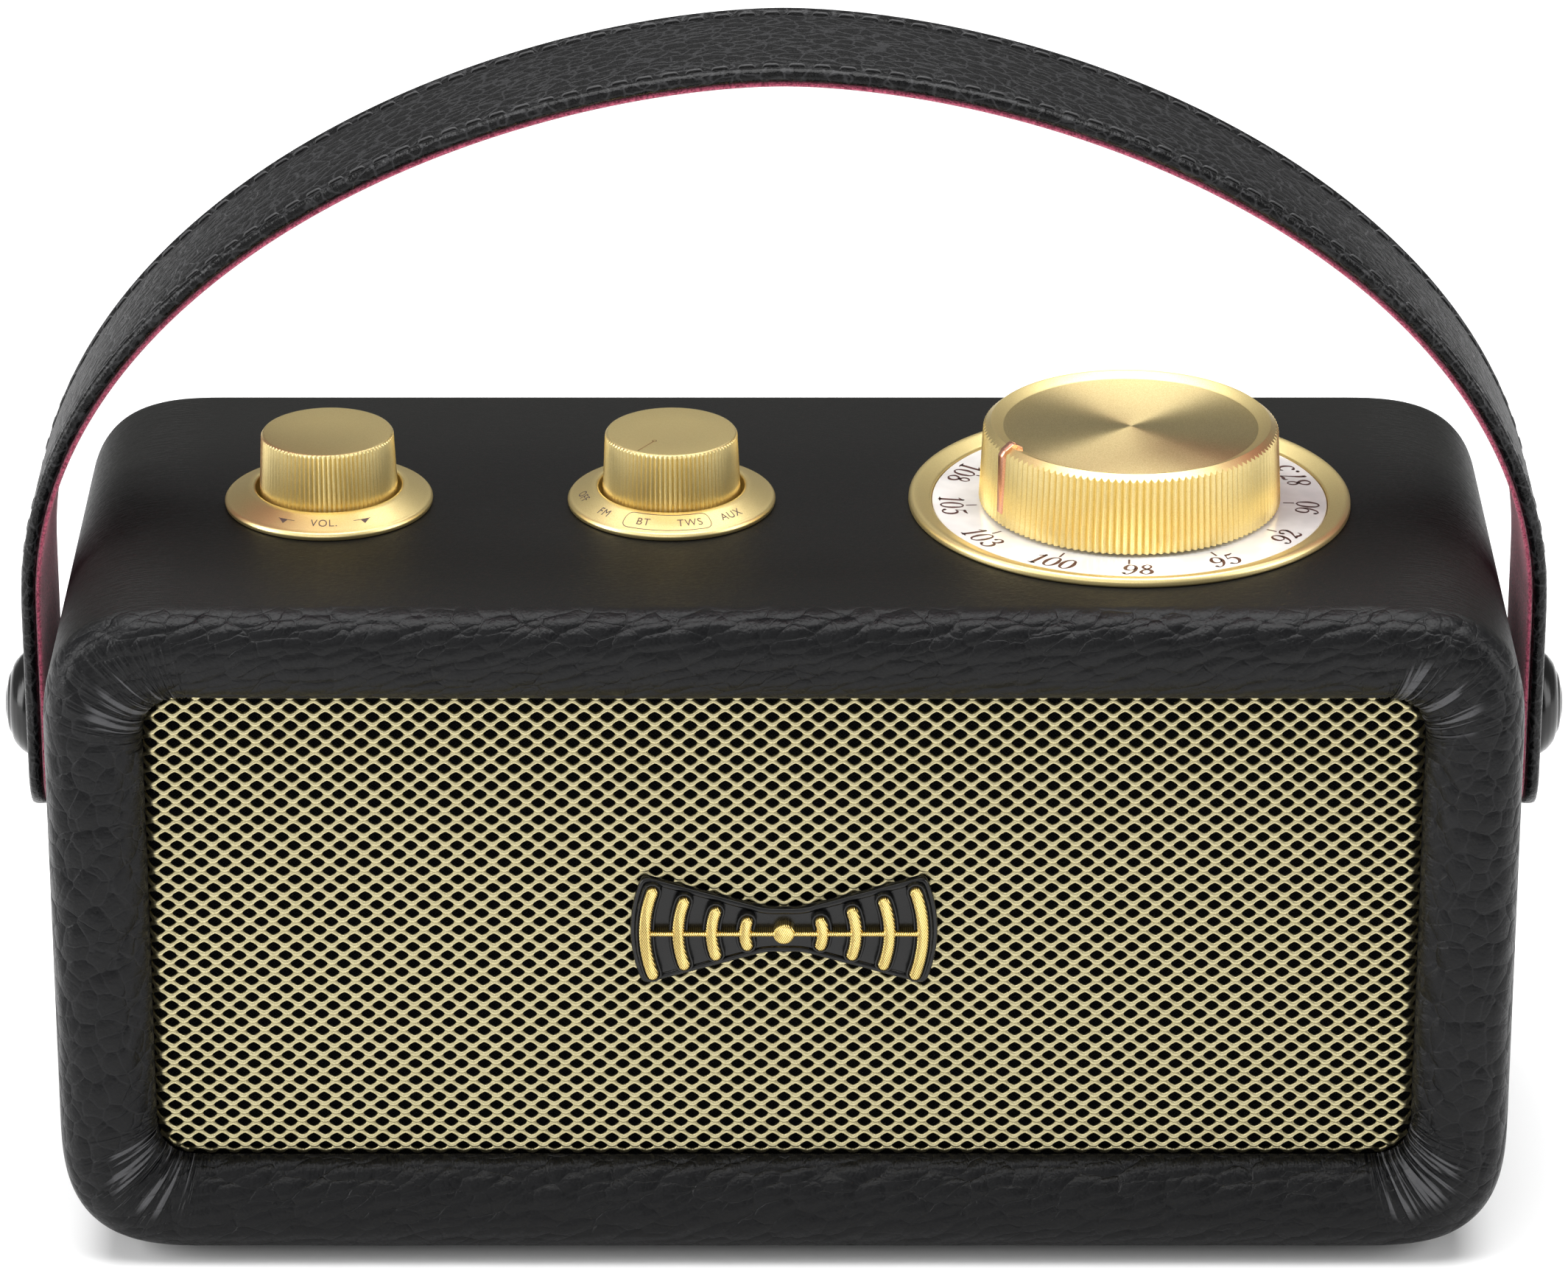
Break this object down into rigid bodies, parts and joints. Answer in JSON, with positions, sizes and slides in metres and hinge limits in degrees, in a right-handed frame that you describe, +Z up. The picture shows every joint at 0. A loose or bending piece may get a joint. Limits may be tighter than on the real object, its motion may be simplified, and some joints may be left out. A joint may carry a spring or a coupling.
{
  "type": "portable radio",
  "caption": "Leather-covered portable radio with a carrying strap, gold expanded-metal grille, turned gold knobs on top and a telescopic antenna folded behind.",
  "frame": {"origin": "bottom centre of the whole object, on the plane the feet stand on", "axes": "+X to the right of a person facing the grille, grille facing -Y, folded antenna at +Y, +Z up"},
  "size_m": [0.1724, 0.0716, 0.1307],
  "materials": {
    "leather": "pebbled black leather, satin",
    "strap_leather": "grained black leather, satin",
    "felt": "red-pink suede felt",
    "foam": "grey foam",
    "shell_plastic": "moulded black ABS",
    "rear_plastic": "spark-eroded matte black",
    "baffle_board": "fibreboard",
    "grille_gold": "champagne gold lacquer on expanded metal",
    "acoustic_cloth": "black acoustic cloth",
    "gloss_black": "glossy black",
    "badge_gold": "ribbed gold",
    "black_screw": "black oxide",
    "foot_rubber": "matt black rubber",
    "washer_nylon": "black nylon",
    "bezel_gold": "bead-blasted gold anodised",
    "knob_gold": "fluted gold anodised",
    "dial_white": "clear-coated white",
    "pointer_copper": "copper",
    "steel": "zinc plated",
    "brass_nut": "turned brass",
    "magnet": "ferrite and black steel",
    "cone_paper": "pulp paper",
    "surround_rubber": "soft rubber",
    "circuit_board": "solder-resist green",
    "battery_wrap": "heat-shrink wrap",
    "antenna_chrome": "polished chrome plate"
  },
  "bodies": {
    "cabinet": {"cabinet_shell": "shell_plastic", "leather_cover": "leather", "front_padding": "foam", "front_baffle": "baffle_board", "grille": "grille_gold", "grille_cloth": "acoustic_cloth", "badge_plate": "gloss_black", "badge_sign": "badge_gold", "rear_panel": "rear_plastic", "rear_screw_top_right": "black_screw", "rear_screw_top_left": "black_screw", "rear_screw_bottom_left": "black_screw", "rear_screw_bottom_right": "black_screw", "foot_front_left": "foot_rubber", "foot_front_right": "foot_rubber", "foot_rear_left": "foot_rubber", "foot_rear_right": "foot_rubber", "volume_bezel": "bezel_gold", "function_bezel": "bezel_gold", "tuning_bezel": "bezel_gold", "tuning_dial": "dial_white", "volume_pot": "steel", "function_switch": "steel", "tuning_pot": "steel", "volume_nut": "brass_nut", "function_nut": "brass_nut", "tuning_nut": "brass_nut", "speaker_basket": "steel", "speaker_surround": "surround_rubber", "speaker_cone": "cone_paper", "speaker_magnet": "magnet", "main_board": "circuit_board", "control_board": "circuit_board", "battery_cell": "battery_wrap", "battery_cradle": "shell_plastic", "usb_socket": "steel", "aux_socket": "steel", "strap_pin_left": "steel", "strap_pin_right": "steel", "strap_button_left": "gloss_black", "strap_button_right": "gloss_black", "strap_washer_left": "washer_nylon", "strap_washer_right": "washer_nylon"},
    "volume_control": {"volume_knob": "knob_gold", "volume_shaft": "steel"},
    "function_control": {"function_knob": "knob_gold", "function_shaft": "steel"},
    "tuning_control": {"tuning_knob": "knob_gold", "tuning_pointer": "pointer_copper", "tuning_shaft": "steel"},
    "handle": {"strap_leather": "strap_leather", "strap_lining": "felt"},
    "antenna_turret": {"antenna_base": "antenna_chrome", "antenna_hinge_pin": "steel", "antenna_retainer": "brass_nut"},
    "antenna_section_1": {"antenna_root": "antenna_chrome", "antenna_tube_1": "antenna_chrome"},
    "antenna_section_2": {"antenna_tube_2": "antenna_chrome"},
    "antenna_section_3": {"antenna_tube_3": "antenna_chrome"},
    "antenna_section_4": {"antenna_tube_4": "antenna_chrome"}
  },
  "joints": [
    {"name": "volume_turn", "type": "hinge", "parent": "cabinet", "child": "volume_control", "pos_m": [-0.0498, -0.00285, 0.0772], "axis": [0, 0, 1], "range_deg": [-140, 140]},
    {"name": "function_turn", "type": "hinge", "parent": "cabinet", "child": "function_control", "pos_m": [-0.0123, -0.00285, 0.0772], "axis": [0, 0, 1], "range_deg": [-46, 74]},
    {"name": "tuning_turn", "type": "hinge", "parent": "cabinet", "child": "tuning_control", "pos_m": [0.0378, -0.00285, 0.0772], "axis": [0, 0, 1], "range_deg": [-48, 170]},
    {"name": "handle_swing", "type": "hinge", "parent": "cabinet", "child": "handle", "pos_m": [0, -0.00285, 0.0532], "axis": [1, 0, 0], "range_deg": [-34, 34]},
    {"name": "antenna_swivel", "type": "hinge", "parent": "cabinet", "child": "antenna_turret", "pos_m": [0.057, 0.03335, 0.0667], "axis": [0, 1, 0], "range_deg": [0, 180]},
    {"name": "antenna_tilt", "type": "hinge", "parent": "antenna_turret", "child": "antenna_section_1", "pos_m": [0.057, 0.03335, 0.0667], "axis": [0, 0, -1], "range_deg": [0, 90]},
    {"name": "antenna_slide_1", "type": "slide", "parent": "antenna_section_1", "child": "antenna_section_2", "axis": [-1, 0, 0], "range_m": [0, 0.085]},
    {"name": "antenna_slide_2", "type": "slide", "parent": "antenna_section_2", "child": "antenna_section_3", "axis": [-1, 0, 0], "range_m": [0, 0.085]},
    {"name": "antenna_slide_3", "type": "slide", "parent": "antenna_section_3", "child": "antenna_section_4", "axis": [-1, 0, 0], "range_m": [0, 0.085]}
  ]
}
